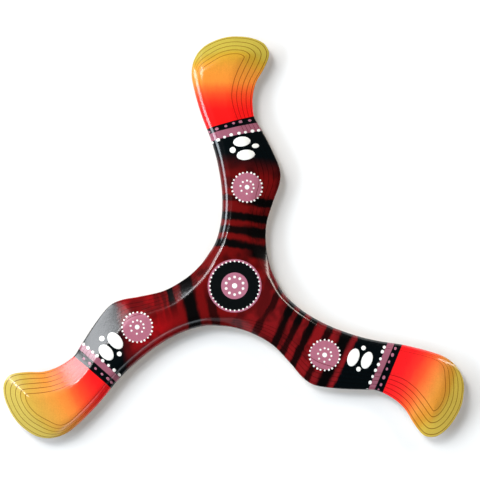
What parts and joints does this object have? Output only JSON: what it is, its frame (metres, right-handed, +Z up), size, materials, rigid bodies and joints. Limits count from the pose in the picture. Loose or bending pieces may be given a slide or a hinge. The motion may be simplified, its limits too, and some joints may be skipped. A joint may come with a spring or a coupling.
{
  "type": "boomerang",
  "caption": "Flat three-blade returning boomerang in layered plywood, with a rounded leading edge and a long trailing bevel on each blade.",
  "frame": {"origin": "centre of the hub, on the flat underside", "axes": "+Z up through the plywood towards the shaped and painted face, +Y along one blade, +X to that blade's trailing side"},
  "size_m": [0.2908, 0.2586, 0.005],
  "materials": {
    "bare_veneer": "clear-lacquered birch, underside and edge",
    "stained_veneer": "birch veneer stained red, with black rings near the hub and yellow blade ends, under gloss lacquer",
    "painted_face": "birch face veneer, stained and painted, under thick gloss lacquer",
    "glue_line": "dark brown film glue that shows as thin lines on the bevels",
    "pink_ink": "pink paint under gloss lacquer",
    "black_ink": "black paint under gloss lacquer",
    "white_paint": "thick white dots of paint under gloss lacquer"
  },
  "bodies": {
    "root": {"bottom_face_veneer": "bare_veneer", "glue_film_1": "glue_line", "cross_veneer_2": "stained_veneer", "glue_film_2": "glue_line", "long_veneer_3": "stained_veneer", "glue_film_3": "glue_line", "core_veneer_4": "stained_veneer", "glue_film_4": "glue_line", "long_veneer_5": "stained_veneer", "glue_film_5": "glue_line", "cross_veneer_6": "stained_veneer", "glue_film_6": "glue_line", "top_face_veneer": "painted_face"}
  },
  "joints": []
}
